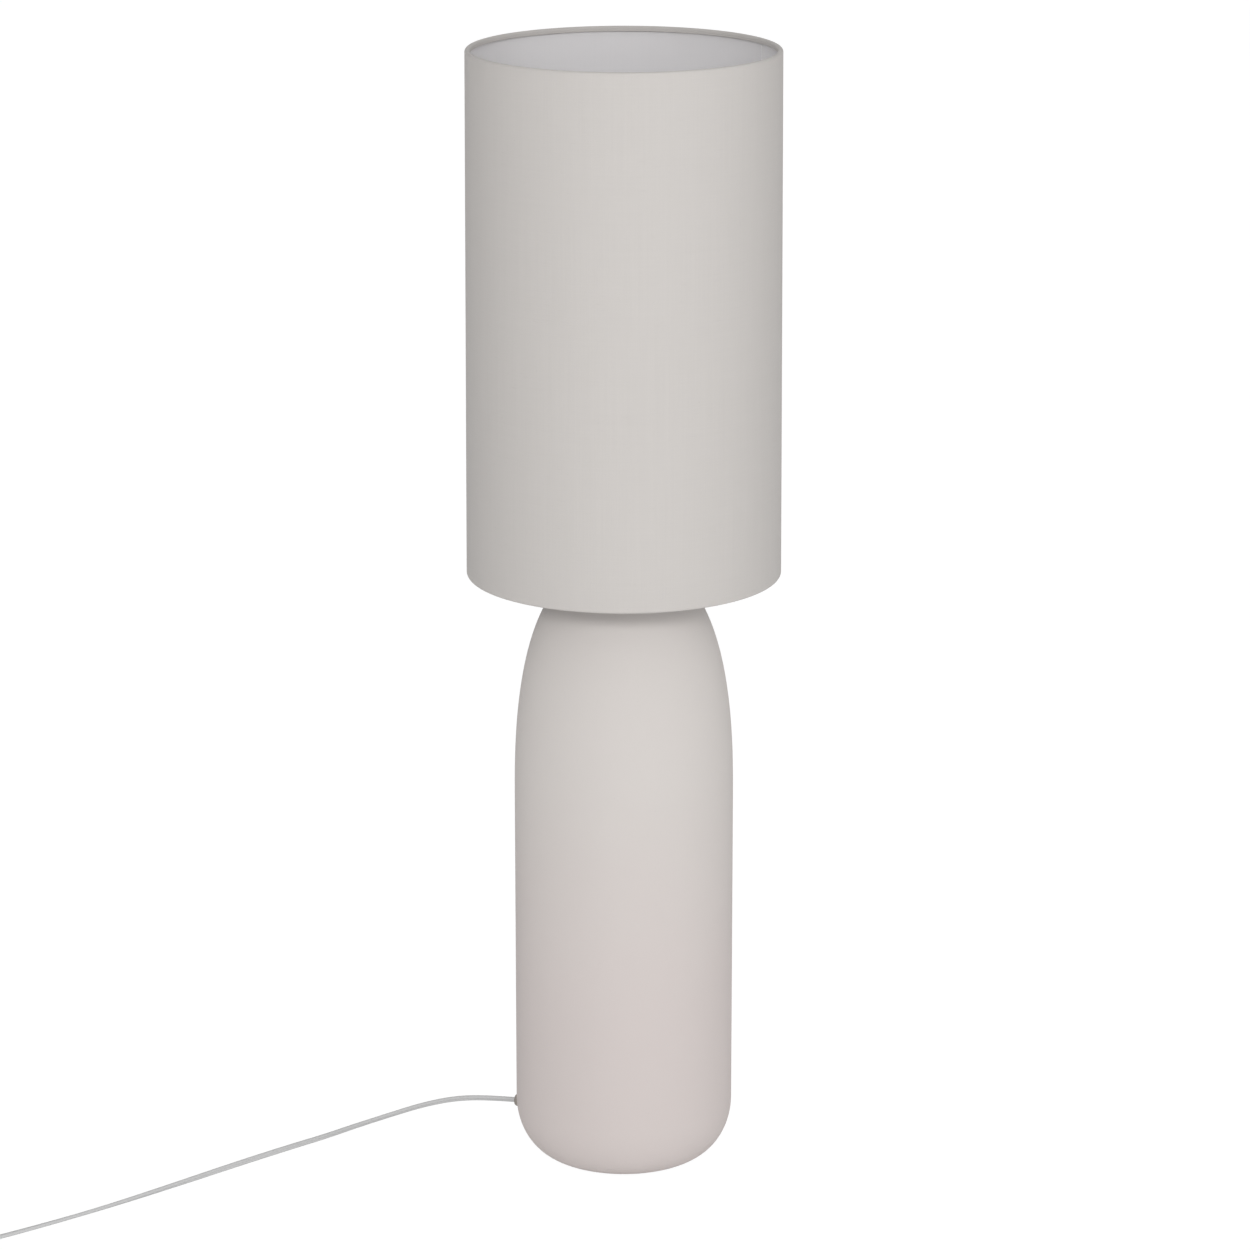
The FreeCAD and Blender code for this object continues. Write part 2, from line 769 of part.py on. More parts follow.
def self_gap(edges, diameter):
    """The least free gap between stretches of a tube that lie further apart along it than three diameters."""
    places = []
    for edge in edges:
        places += edge.discretize(Distance=diameter / 2)[:-1]
    apart = 8
    least = 1e9
    for index, place in enumerate(places):
        for other in places[index + apart:]:
            least = min(least, (place - other).Length)
    return least - diameter


def free_cord(name, points):
    """A free stretch of the cord, with its measures printed."""
    edges, radii = rounded(points)
    shape = tube(edges, cord_radius)
    report_tube(name, shape, edges, cord_radius, radii)
    return shape


def make_coil():
    edges = coil_edges()
    shape = tube(edges, cord_radius)
    report_tube("cord_coil", shape, edges, cord_radius)
    print(f"cord_coil: least gap to itself {self_gap(edges, 2 * cord_radius):.2f} mm")
    return shape


def make_tie():
    """Strap round the coil's bundle of turns."""
    innermost = coil_outer_radius - turn_pitch * turns_total / 2
    outermost = coil_outer_radius - turn_pitch / 2
    inner_side = math.sqrt(innermost ** 2 - (tie_width / 2) ** 2) - cord_radius - tie_side_clearance
    outer_side = outermost + cord_radius + tie_side_clearance
    low = coil_floor - cord_radius - tie_clearance
    high = coil_floor + coil_layer + cord_radius + tie_clearance

    def block(grow):
        corner = V(inner_side - grow, -tie_width / 2, low - grow)
        box = Part.makeBox(outer_side - inner_side + 2 * grow, tie_width, high - low + 2 * grow, corner)
        edges = [edge for edge in box.Edges if abs(edge.tangentAt(edge.FirstParameter).y) > 0.9]
        return box.makeFillet(cord_radius + grow, edges)
    return placed(block(tie_thickness).cut(block(0)), tie_azimuth, V(coil_centre.x, coil_centre.y, 0))


# ---- foot switch ----

def stadium(length, width, height, base_height):
    """A flat block with round ends."""
    half = length / 2 - width / 2
    side = width / 2
    outline = line(V(-half, -side, base_height), V(half, -side, base_height))
    outline += arc(V(half, -side, base_height), V(half + side, 0, base_height), V(half, side, base_height))
    outline += line(V(half, side, base_height), V(-half, side, base_height))
    outline += arc(V(-half, side, base_height), V(-half - side, 0, base_height), V(-half, -side, base_height))
    return Part.Face(Part.Wire(outline)).extrude(V(0, 0, height))


def at_switch(shape):
    return placed(shape, 0, switch_centre)


def screw_spots():
    return [V(side * switch_screw_x, side * switch_screw_y, 0) for side in (-1, 1)]


def make_switch_base():
    """Floor plate of the switch, countersunk from below for its screws."""
    base = stadium(switch_length, switch_width, switch_base_height, 0)
    for spot in screw_spots():
        base = base.cut(cylinder(switch_screw_radius + holder_fit, switch_base_height, spot))
        base = base.cut(cylinder(switch_screw_head_radius + holder_fit, switch_screw_head, spot))
    return at_switch(base)


def make_switch_cover():
    """Moulded cover: soft upper edge, tapered cord sleeves, button hole and screw posts."""
    cover = stadium(switch_length, switch_width, switch_height - switch_base_height, switch_base_height)
    top_edges = [edge for edge in cover.Edges if edge.BoundBox.ZMin > switch_height - 0.01]
    cover = cover.makeFillet(switch_round, top_edges)
    axis_height = V(0, 0, switch_cord_height)
    root = switch_length / 2 - switch_wall
    for way in (-1, 1):
        sleeve = Part.makeCone(switch_sleeve_radius, switch_sleeve_tip_radius, switch_sleeve + switch_wall,
                               axis_height + ALONG * (way * root), ALONG * way)
        cover = cover.fuse(sleeve)
    floor_slab = Part.makeBox(4 * switch_length, 4 * switch_width, switch_base_height,
                              V(-2 * switch_length, -2 * switch_width, 0))
    cover = cover.cut(floor_slab)
    cavity_height = switch_height - switch_wall - switch_base_height
    cavity = stadium(switch_length - 2 * switch_wall, switch_width - 2 * switch_wall, cavity_height,
                     switch_base_height)
    cavity_edges = [edge for edge in cavity.Edges if edge.BoundBox.ZMin > switch_height - switch_wall - 0.01]
    cover = cover.cut(cavity.makeFillet(switch_round - switch_wall, cavity_edges))
    for spot in screw_spots():
        post = cylinder(switch_post_radius, cavity_height + switch_wall / 2, spot + UP * switch_base_height)
        cover = cover.fuse(post)
        cover = cover.cut(cylinder(switch_screw_radius, switch_screw_length, spot + UP * switch_screw_head))
    for way in (-1, 1):
        port = cylinder(cord_radius + cord_bore_clearance, switch_sleeve + 2 * switch_wall,
                        axis_height + ALONG * (way * switch_half), ALONG * -way)
        cover = cover.cut(port)
    cover = cover.cut(cylinder(button_radius + button_clearance, switch_height, V(0, 0, switch_height / 2)))
    return at_switch(cover)


def make_switch_button():
    """Push button with a flange that the cover's roof keeps in."""
    flange_top = switch_height - switch_wall - button_play
    flange = cylinder(button_flange_radius, button_flange, V(0, 0, flange_top - button_flange))
    stem_top = switch_height + button_proud
    stem = cylinder(button_radius, stem_top - flange_top + button_flange, V(0, 0, flange_top - button_flange))
    rim = [edge for edge in stem.Edges if edge.BoundBox.ZMin > stem_top - 0.01]
    return at_switch(stem.makeFillet(button_round, rim).fuse(flange))


def make_switch_unit():
    """Latching switch cell that the button presses on, with room for the button's travel."""
    pressed = switch_height - switch_wall - button_play - button_flange - button_travel
    height = pressed - button_clearance - switch_base_height
    base = V(-unit_length / 2, -unit_width / 2, switch_base_height)
    return at_switch(Part.makeBox(unit_length, unit_width, height, base))


def make_switch_cords():
    """The two cord ends held in the sleeves, from each mouth to the cell."""
    ends = []
    for way in (-1, 1):
        mouth = V(way * switch_half, 0, switch_cord_height)
        ends.append(cylinder(cord_radius, switch_half - unit_length / 2 - floor_gap, mouth, ALONG * -way))
    return at_switch(Part.Compound(ends))


def make_switch_screws():
    screws = []
    for spot in screw_spots():
        head = Part.makeCone(switch_screw_head_radius, switch_screw_radius, switch_screw_head - floor_gap,
                             spot + UP * floor_gap)
        shank = cylinder(switch_screw_radius, switch_screw_length, spot + UP * switch_screw_head)
        screws.append(head.fuse(shank).removeSplitter())
    return at_switch(Part.Compound(screws))


# ---- plug ----

plug_mouth = tail_points()[-1]
plug_azimuth = 60.0


def at_plug(shape):
    return placed(shape, plug_azimuth, plug_mouth)


def plug_pins():
    """Two round pins along +X, rooted in the moulding."""
    pins = []
    face = relief_length + plug_length
    for side in (-1, 1):
        base = V(face, side * pin_spacing / 2, 0)
        pin = cylinder(pin_radius, pin_length, base, ALONG)
        tip = [edge for edge in pin.Edges if edge.BoundBox.XMin > face + pin_length - 0.01]
        root = cylinder(pin_root_radius, pin_root, base, ALONG * -1)
        pins.append(pin.makeFillet(pin_radius * 0.6, tip).fuse(root))
    return pins


def make_plug_body():
    """Flat moulded plug: tapered strain relief, a neck that widens to the pin face, soft edges."""
    neck = plug_neck_width / 2
    side = plug_width / 2
    shoulder = relief_length + plug_length * 0.45
    front = relief_length + plug_length
    bottom = -plug_thickness / 2
    outline = []
    for way in (-1, 1):
        outline += line(V(relief_length, 0, bottom), V(relief_length, way * neck, bottom))
        outline += arc(V(relief_length, way * neck, bottom),
                       V((relief_length + shoulder) / 2, way * (neck + side * 1.12) / 2, bottom),
                       V(shoulder, way * side, bottom))
        outline += line(V(shoulder, way * side, bottom), V(front, way * side, bottom), V(front, 0, bottom))
    body = Part.Face(Part.Wire(Part.__sortEdges__(outline))).extrude(V(0, 0, plug_thickness)).removeSplitter()
    flat_edges = [edge for edge in body.Edges if edge.BoundBox.ZLength < 0.01]
    body = body.makeFillet(plug_round, flat_edges)
    relief = Part.makeCone(relief_start_radius, relief_end_radius, relief_length + plug_round, V(0, 0, 0), ALONG)
    body = body.fuse(relief)
    for pin in plug_pins():
        body = body.cut(pin)
    return at_plug(body)


# ---- all sub-parts ----

def plate(radius, height, base_height):
    """A washer on the tie tube."""
    return ring(tube_radius + tube_clearance, radius, height, base_height)


clamp_nut_base = pocket_top - plate_thickness - clamp_nut_height
nut_hole = tube_radius + tube_clearance / 2

parts = {
    "body_shell": make_body(),
    "base_pad": cylinder(pad_radius, pad_thickness, V(0, 0, 0)),
    "clamp_plate": plate(plate_radius, plate_thickness, pocket_top - plate_thickness),
    "clamp_nut": hexagon(nut_across_flats, clamp_nut_height, nut_hole, clamp_nut_base),
    "tie_tube": make_tie_tube(),
    "top_cap": make_top_cap(),
    "lock_nut": hexagon(nut_across_flats, lock_nut_height, nut_hole, body_height + cap_thickness),
    "gland_bush": make_gland_bush(),
    "gland_nut": make_gland_nut(),
    "inner_cord": make_inner_cord(),
    "core_wires": make_core_wires(),
    "holder_cap": make_holder_cap(),
    "holder_shell": make_holder_shell(),
    "contact_block": make_contact_block(),
    "terminal_screws": make_terminal_screws(),
    "screw_sleeve": ring(sleeve_radius - sleeve_wall, sleeve_radius, sleeve_height, block_top),
    "centre_contact": make_centre_contact(),
    "shade_ring_lower": make_collar_ring(lower_ring_base),
    "shade_ring_upper": make_collar_ring(upper_ring_base),
    "bulb_tip": cylinder(tip_radius, tip_height, V(0, 0, bulb_tip_base)),
    "bulb_insulator": make_bulb_insulator(),
    "bulb_cap": cylinder(bulb_cap_radius, bulb_cap_height, V(0, 0, bulb_cap_base)),
    "bulb_housing": make_bulb_housing(),
    "bulb_board": cylinder(bulb_board_radius, bulb_board_thickness, V(0, 0, bulb_collar)),
    "bulb_dome": make_bulb_dome(),
    "shade_cover": make_shade_cover(),
    "shade_liner": make_shade_liner(),
    "top_wire": make_wire(top_wire_height),
    "bottom_wire": make_wire(bottom_wire_height),
    "spider": make_spider(),
    "cord_run": free_cord("cord_run", run_points()),
    "cord_link": free_cord("cord_link", link_points()),
    "cord_coil": make_coil(),
    "cord_tail": free_cord("cord_tail", tail_points()),
    "coil_tie": make_tie(),
    "switch_base": make_switch_base(),
    "switch_cover": make_switch_cover(),
    "switch_button": make_switch_button(),
    "switch_unit": make_switch_unit(),
    "switch_cords": make_switch_cords(),
    "switch_screws": make_switch_screws(),
    "plug_body": make_plug_body(),
    "plug_pins": at_plug(Part.Compound(plug_pins())),
}

os.makedirs("parts", exist_ok=True)
for name, shape in parts.items():
    if not shape.isValid():
        print(f"{name} isn't a valid shape")
    shape.exportStep(f"parts/{name}.step")
print(f"{len(parts)} sub-parts, {shade_top:.1f} mm high")
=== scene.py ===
"""Looks of the column floor lamp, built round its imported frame. Metres, +Z up, the floor at zero."""

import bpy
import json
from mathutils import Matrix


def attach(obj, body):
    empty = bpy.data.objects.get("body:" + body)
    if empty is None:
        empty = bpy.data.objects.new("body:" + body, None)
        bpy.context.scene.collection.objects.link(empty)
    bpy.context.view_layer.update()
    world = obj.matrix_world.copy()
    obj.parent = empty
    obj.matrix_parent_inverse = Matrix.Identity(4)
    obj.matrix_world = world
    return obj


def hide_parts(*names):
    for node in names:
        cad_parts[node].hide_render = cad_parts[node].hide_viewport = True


bl_info = {
    "name": "Column floor lamp",
    "version": (1, 0, 0),
    "blender": (4, 5, 0),
    "location": "3D View > Sidebar > Lamp",
    "description": "Models and finishes the pieces of a floor lamp with a tall drum shade",
    "category": "Object",
}

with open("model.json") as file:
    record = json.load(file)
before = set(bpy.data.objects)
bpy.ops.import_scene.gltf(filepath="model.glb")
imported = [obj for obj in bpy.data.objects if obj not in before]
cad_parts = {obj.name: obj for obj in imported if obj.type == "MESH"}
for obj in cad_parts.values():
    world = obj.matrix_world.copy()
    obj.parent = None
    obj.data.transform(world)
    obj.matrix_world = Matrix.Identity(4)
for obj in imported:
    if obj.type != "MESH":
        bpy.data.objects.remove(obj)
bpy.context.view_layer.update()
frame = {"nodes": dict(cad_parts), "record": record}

import json
import math

import bpy
from bpy.props import FloatProperty, FloatVectorProperty, PointerProperty
from mathutils import Vector


# ---- what a user would change ----


def length(name, description, default):
    return FloatProperty(name=name, description=description, default=default, unit="LENGTH", precision=4)


def colour(name, description, default):
    return FloatVectorProperty(name=name, description=description, default=default,
                               subtype="COLOR", min=0, max=1)


class LampSizes(bpy.types.PropertyGroup):
    """Sizes of the pieces that are modelled here."""

    body_radius: length("Body radius", "Outside of the body's straight wall", 0.0967)
    body_height: length("Body height", "From the floor to the seat on the shoulder", 0.540)
    shoulder_start: length("Shoulder start", "Height at which the wall begins to close", 0.336)
    shade_radius: length("Shade radius", "Outside of the cloth", 0.1375)
    shade_low: length("Shade low", "Height of the shade's lower edge", 0.539)
    shade_high: length("Shade high", "Height of the shade's upper edge", 1.0)
    shade_taper: length("Shade taper", "How much the upper radius is less than the lower one", 0.0020)
    rim_width: length("Rim width", "Width of the cloth rolled over the wire", 0.0047)
    holder_base: length("Holder base", "Height of the lampholder's lower face", 0.5465)
    cord_width: length("Cord width", "Wide side of the flat cord", 0.0052)
    cord_thickness: length("Cord thickness", "Narrow side of the flat cord", 0.0033)


class LampColours(bpy.types.PropertyGroup):
    """Colours of the finishes, as linear values."""

    cloth: colour("Cloth", "Outside of the shade", (0.590, 0.563, 0.541))
    lining: colour("Lining", "Inside of the shade", (0.813, 0.798, 0.805))
    body: colour("Body", "Upper part of the body", (0.668, 0.632, 0.608))
    # Lower part of the body: a warmer tint, with painted shade that makes it slightly darker than the upper
    # part.
    body_low_tint_and_shade: colour("Body, lower part", "The slightly warmer lower part of the body", (0.668, 0.609, 0.591))
    cord: colour("Cord", "Cord jacket", (0.592, 0.594, 0.596))
    bush: colour("Bush", "Cord bush in the body's wall", (0.320, 0.289, 0.263))
    fittings: colour("Fittings", "Switch and plug", (0.46, 0.45, 0.44))


class LampStudio(bpy.types.PropertyGroup):
    """Light and camera."""

    key_power: FloatProperty(name="Key power", description="Power of the strongest front light", default=36.5,
                             unit="POWER")
    ambient: FloatProperty(name="Ambient", description="Strength of the even light from all round",
                           default=0.475)
    focal: FloatProperty(name="Lens", description="Focal length of the camera", default=129.14, unit="CAMERA")
    tilt: FloatProperty(name="Tilt", description="Camera tilt from straight down", default=math.radians(75.687),
                        subtype="ANGLE")
    shift: FloatProperty(name="Shift", description="Vertical lens shift", default=-0.0952)


# ---- shader kit ----


class Socket:
    """A shader socket in an expression: each operator adds the Math node for it."""

    def __init__(self, nodes, socket):
        self.nodes = nodes
        self.socket = socket

    def __add__(self, other):
        return self.nodes.math("ADD", self, other)

    def __sub__(self, other):
        return self.nodes.math("SUBTRACT", self, other)

    def __rsub__(self, other):
        return self.nodes.math("SUBTRACT", other, self)

    def __mul__(self, other):
        return self.nodes.math("MULTIPLY", self, other)

    def __truediv__(self, other):
        return self.nodes.math("DIVIDE", self, other)

    __radd__ = __add__
    __rmul__ = __mul__


class Nodes:
    """A node tree that is built by expressions."""

    def __init__(self, tree):
        self.tree = tree
        tree.nodes.clear()

    def add(self, kind, settings=(), sockets=(), output=0):
        """Adds a node: its settings first, then its sockets' values or links. Returns one of its outputs."""
        node = self.tree.nodes.new(kind)
        for key, value in dict(settings).items():
            if key == "stops":
                for index, (place, shade) in enumerate(value):
                    stop = node.color_ramp.elements[index]
                    stop.position = place
                    stop.color = (shade, shade, shade, 1)
            else:
                setattr(node, key, value)
        for key, value in dict(sockets).items():
            if isinstance(value, Socket):
                self.tree.links.new(value.socket, node.inputs[key])
            else:
                node.inputs[key].default_value = value
        return Socket(self, node.outputs[output]) if node.outputs else None

    def math(self, operation, *values):
        return self.add("ShaderNodeMath", {"operation": operation}, dict(enumerate(values)))

    def split(self, vector):
        return [self.add("ShaderNodeSeparateXYZ", (), {0: vector}, part) for part in range(3)]

    def vector(self, x, y, z):
        return self.add("ShaderNodeCombineXYZ", (), {0: x, 1: y, 2: z})

    def noise(self, place, scale, detail=3.0, roughness=0.5):
        """Grain from 0 to 1, at a place in metres."""
        return self.add("ShaderNodeTexNoise", (),
                        {"Vector": place, "Scale": scale, "Detail": detail, "Roughness": roughness})

    def between(self, value, low, high):
        """0 below low, 1 above high and smooth between them."""
        return self.add("ShaderNodeMapRange", {"interpolation_type": "SMOOTHSTEP"},
                        {"Value": value, "From Min": low, "From Max": high})

    def mix(self, factor, first, second):
        """Two colours mixed by a factor."""
        node = {"Factor": factor, 6: first, 7: second}
        return self.add("ShaderNodeMix", {"data_type": "RGBA"}, node, 2)

    def tone(self, shade, amount):
        """A colour with its brightness multiplied, by Vector Math."""
        grey = self.vector(amount, amount, amount)
        plain = shade if isinstance(shade, Socket) else tuple(shade[:3])
        return self.add("ShaderNodeVectorMath", {"operation": "MULTIPLY"}, {0: plain, 1: grey})

    def bump(self, height, distance, strength=1.0):
        return self.add("ShaderNodeBump", (), {"Height": height, "Distance": distance, "Strength": strength})

    def place(self):
        """The point on the piece, in metres."""
        return self.add("ShaderNodeTexCoord", (), (), 3)


def opaque(shade):
    return (*shade[:3], 1.0)


def material(name):
    """A new material and its empty node tree; it takes the place of the frame's plain one of that name."""
    if name in bpy.data.materials:
        bpy.data.materials.remove(bpy.data.materials[name])
    made = bpy.data.materials.new(name)
    made.use_nodes = True
    return made, Nodes(made.node_tree)


def surface(nodes, **sockets):
    """Ends a material with its surface shader; keyword names are its sockets, with _ for a blank."""
    named = {key.replace("_", " "): value for key, value in sockets.items()}
    shader = nodes.add("ShaderNodeBsdfPrincipled", (), named)
    nodes.add("ShaderNodeOutputMaterial", (), {"Surface": shader})


# ---- finishes ----


def cast_body(colours):
    """Matt cast body: fine sand under the paint, faint clouds, and towards the foot a warmer tint with painted
    shade that darkens it slightly.
    """
    made, n = material("body_ceramic")
    place = n.place()
    height = n.split(place)[2]
    sand = n.noise(place, 1500, 4, 0.65)
    fine = n.noise(place, 4200, 2)
    clouds = n.noise(place, 9, 3)
    # Share of the lower colour, rising towards the foot: its warmer tint and painted shade that darkens the
    # body there.
    low = 1 - n.between(height + (clouds - 0.5) * 0.12, 0.12, 0.42)
    base = n.mix(low, opaque(colours.body), opaque(colours.body_low_tint_and_shade))
    pits = n.between(n.noise(place, 620, 2), 0.68, 0.76)
    tone = 0.955 + sand * 0.06 + clouds * 0.03 - pits * 0.035
    relief = sand * 0.7 + fine * 0.3 - pits * 0.4
    surface(n, Base_Color=n.tone(base, tone), Roughness=0.80 + sand * 0.12,
            Diffuse_Roughness=0.2, Specular_IOR_Level=0.35, Normal=n.bump(relief, 0.00035, 0.55))
    return made


def woven_cloth(colours):
    """Plain weave glued round the drum: fine threads, thick and thin yarns, a few slubs and specks."""
    made, n = material("shade_cloth")
    turned_place = n.add("ShaderNodeMapping", (), {"Vector": n.place(), "Rotation": (0, 0, math.radians(150))})
    x, y, v = n.split(turned_place)
    u = n.math("ARCTAN2", y, x) * 0.1375
    warp = n.math("SINE", u * (math.tau / 0.00062))
    weft = n.math("SINE", v * (math.tau / 0.00062))
    upright = n.noise(n.vector(u * 760, v * 9, 0), 1, 3)
    broad = n.noise(n.vector(u * 150, v * 2.2, 3), 1, 2)
    level = n.noise(n.vector(u * 11, v * 760, 7), 1, 3)
    slub_level = n.between(n.noise(n.vector(u * 85, v * 900, 11), 1, 1), 0.70, 0.80)
    slub_upright = n.between(n.noise(n.vector(u * 900, v * 85, 17), 1, 1), 0.72, 0.82)
    fleck = n.between(n.noise(n.vector(u * 330, v * 330, 23), 1, 1), 0.79, 0.84)
    weave = warp * weft
    tone = 0.958 + upright * 0.045 + level * 0.035 + broad * 0.02 + weave * 0.012
    tone = tone - slub_level * 0.035 - slub_upright * 0.03 - fleck * 0.14
    relief = weave * 0.25 + upright * 0.9 + level * 0.7 + slub_level * 0.8 + slub_upright * 0.8
    surface(n, Base_Color=n.tone(opaque(colours.cloth), tone), Roughness=0.86 + weave * 0.04,
            Specular_IOR_Level=0.22, Sheen_Weight=0.12, Sheen_Roughness=0.5,
            Normal=n.bump(relief, 0.00022, 0.55))
    return made


def smooth_lining(colours):
    """Lining glued inside the drum: close and smooth, with faint upright lines."""
    made, n = material("shade_lining")
    turned_place = n.add("ShaderNodeMapping", (), {"Vector": n.place(), "Rotation": (0, 0, math.radians(150))})
    x, y, v = n.split(turned_place)
    u = n.math("ARCTAN2", y, x) * 0.136
    lines = n.noise(n.vector(u * 420, v * 5, 0), 1, 2)
    clouds = n.noise(n.vector(u * 9, v * 6, 5), 1, 2)
    tone = 0.965 + lines * 0.03 + clouds * 0.03
    surface(n, Base_Color=n.tone(opaque(colours.lining), tone), Roughness=0.62 + lines * 0.1,
            Specular_IOR_Level=0.35, Normal=n.bump(lines * 0.5 + clouds, 0.0002, 0.4))
    return made


def moulded(name, shade, rough=0.5, grain=0.5, coat=0.0):
    """Moulded plastic: fine spark texture, slight flow clouds and handling wear."""
    made, n = material(name)
    place = n.place()
    spark = n.noise(place, 2600, 3, 0.6)
    clouds = n.noise(place, 60, 2)
    rubs = n.noise(place, 210, 4, 0.7)
    tone = 0.95 + clouds * 0.06 + spark * 0.04
    surface(n, Base_Color=n.tone(opaque(shade), tone), Roughness=rough + rubs * 0.14 - 0.07,
            Specular_IOR_Level=0.45, Coat_Weight=coat, Normal=n.bump(spark, 0.00008, grain))
    return made


def cord_jacket(name, shade):
    """Soft cord jacket: faint drawing lines, dust in the hollow and a dull sheen."""
    made, n = material(name)
    place = n.place()
    drawn = n.noise(place, 900, 3)
    dust = n.noise(place, 120, 3, 0.6)
    surface(n, Base_Color=n.tone(opaque(shade), 0.94 + dust * 0.09 + drawn * 0.03),
            Roughness=0.48 + dust * 0.18, Specular_IOR_Level=0.42, Normal=n.bump(drawn, 0.00006, 0.5))
    return made


def plated(name, shade, rough=0.28, lines=0.0):
    """Plated or bare metal: fine turning lines and stains."""
    made, n = material(name)
    place = n.place()
    x, y, z = n.split(place)
    turning = n.noise(n.vector(x * 40, y * 40, z * 2600), 1, 2)
    stains = n.noise(place, 140, 4, 0.6)
    tone = 0.86 + stains * 0.2 + turning * 0.06 * lines
    surface(n, Base_Color=n.tone(opaque(shade), tone), Metallic=0.94 + stains * 0.06,
            Roughness=rough + stains * 0.16 + turning * 0.08 * lines,
            Normal=n.bump(turning * lines + stains * 0.2, 0.00005, 0.5))
    return made


def coated(name, shade, rough=0.5):
    """Powder coat on wire and sheet: a low orange peel and a few dull spots."""
    made, n = material(name)
    place = n.place()
    peel = n.noise(place, 1100, 2)
    spots = n.noise(place, 170, 3, 0.6)
    surface(n, Base_Color=n.tone(opaque(shade), 0.95 + spots * 0.07), Roughness=rough + spots * 0.16,
            Coat_Weight=0.15, Coat_Roughness=0.3, Normal=n.bump(peel, 0.00012, 0.5))
    return made


def felt_pad(name, shade):
    """Pressed felt: matted fibres and lint."""
    made, n = material(name)
    place = n.place()
    fibres = n.noise(place, 1900, 5, 0.75)
    mats = n.noise(place, 300, 3)
    surface(n, Base_Color=n.tone(opaque(shade), 0.75 + fibres * 0.3 + mats * 0.2),
            Roughness=0.95 - fibres * 0.05, Sheen_Weight=0.3, Normal=n.bump(fibres, 0.0005, 0.9))
    return made


def glazed(name, shade, rough=0.12):
    """Glazed ceramic or glass paste: a smooth coat with a slight ripple."""
    made, n = material(name)
    place = n.place()
    ripple = n.noise(place, 240, 2)
    surface(n, Base_Color=n.tone(opaque(shade), 0.93 + ripple * 0.12), Roughness=rough + ripple * 0.06,
            Coat_Weight=0.5, Coat_Roughness=0.08, Normal=n.bump(ripple, 0.00006, 0.4))
    return made


def opal(name):
    """Opal bulb globe: milky, with an even satin surface and a slightly warmer depth."""
    made, n = material(name)
    place = n.place()
    milk = n.noise(place, 70, 3)
    shade = n.mix(milk, (0.82, 0.81, 0.78, 1), (0.88, 0.87, 0.86, 1))
    surface(n, Base_Color=shade, Roughness=0.30 + milk * 0.08, Coat_Weight=0.25, Coat_Roughness=0.2,
            Normal=n.bump(milk, 0.00003, 0.3))
    return made


def finishes(colours):
    """The finish of every material slot in the record."""
    white = (0.72, 0.72, 0.70)
    return {
        "body_ceramic": cast_body(colours),
        "shade_cloth": woven_cloth(colours),
        "shade_lining": smooth_lining(colours),
        "felt": felt_pad("felt", (0.13, 0.125, 0.12)),
        "zinc_steel": plated("zinc_steel", (0.56, 0.57, 0.58), 0.32, 1.0),
        "cap_metal": coated("cap_metal", colours.body, 0.55),
        "bush_plastic": moulded("bush_plastic", colours.bush, 0.55, 0.8),
        "cord_jacket": cord_jacket("cord_jacket", colours.cord),
        "core_copper": moulded("core_copper", (0.24, 0.09, 0.045), 0.4, 0.3),
        "holder_plastic": moulded("holder_plastic", white, 0.38, 0.4, 0.1),
        "block_ceramic": glazed("block_ceramic", (0.74, 0.73, 0.69)),
        "contact_brass": plated("contact_brass", (0.72, 0.50, 0.22), 0.24, 0.5),
        "bulb_opal": opal("bulb_opal"),
        "bulb_housing_white": moulded("bulb_housing_white", (0.76, 0.76, 0.75), 0.32, 0.2, 0.2),
        "cap_nickel": plated("cap_nickel", (0.62, 0.60, 0.56), 0.25, 0.6),
        "insulator_black": glazed("insulator_black", (0.010, 0.010, 0.012), 0.1),
        "frame_white": coated("frame_white", (0.70, 0.70, 0.68), 0.45),
        "tie_rubber": moulded("tie_rubber", (0.035, 0.035, 0.036), 0.6, 1.0),
        "switch_plastic": moulded("switch_plastic", colours.fittings, 0.5, 0.9),
        "button_plastic": moulded("button_plastic", tuple(0.86 * c for c in colours.fittings), 0.36, 0.3, 0.15),
        "plug_plastic": moulded("plug_plastic", colours.fittings, 0.5, 0.9),
        "pin_nickel": plated("pin_nickel", (0.66, 0.64, 0.60), 0.18, 0.6),
    }


# ---- modelling helpers ----


def clear_selection():
    """Object mode with nothing selected."""
    if bpy.context.object and bpy.context.object.mode != "OBJECT":
        bpy.ops.object.mode_set(mode="OBJECT")
    bpy.ops.object.select_all(action="DESELECT")


def take(*pieces):
    """Selects only these pieces, the last one active."""
    clear_selection()
    for piece in pieces:
        piece.select_set(True)
        bpy.context.view_layer.objects.active = piece


def settle(piece):
    """Moves a piece's place, turn and size into its mesh."""
    take(piece)
    bpy.ops.object.transform_apply(location=True, rotation=True, scale=True)


def tidy(piece, angle=32):
    """Merges doubles, turns faces outwards and smooths what isn't an edge."""
    take(piece)
    bpy.ops.object.mode_set(mode="EDIT")
    bpy.ops.mesh.select_all(action="SELECT")
    bpy.ops.mesh.remove_doubles(threshold=0.000002)
    bpy.ops.mesh.normals_make_consistent(inside=False)
    bpy.ops.object.mode_set(mode="OBJECT")
    bpy.ops.object.shade_smooth_by_angle(angle=math.radians(angle))


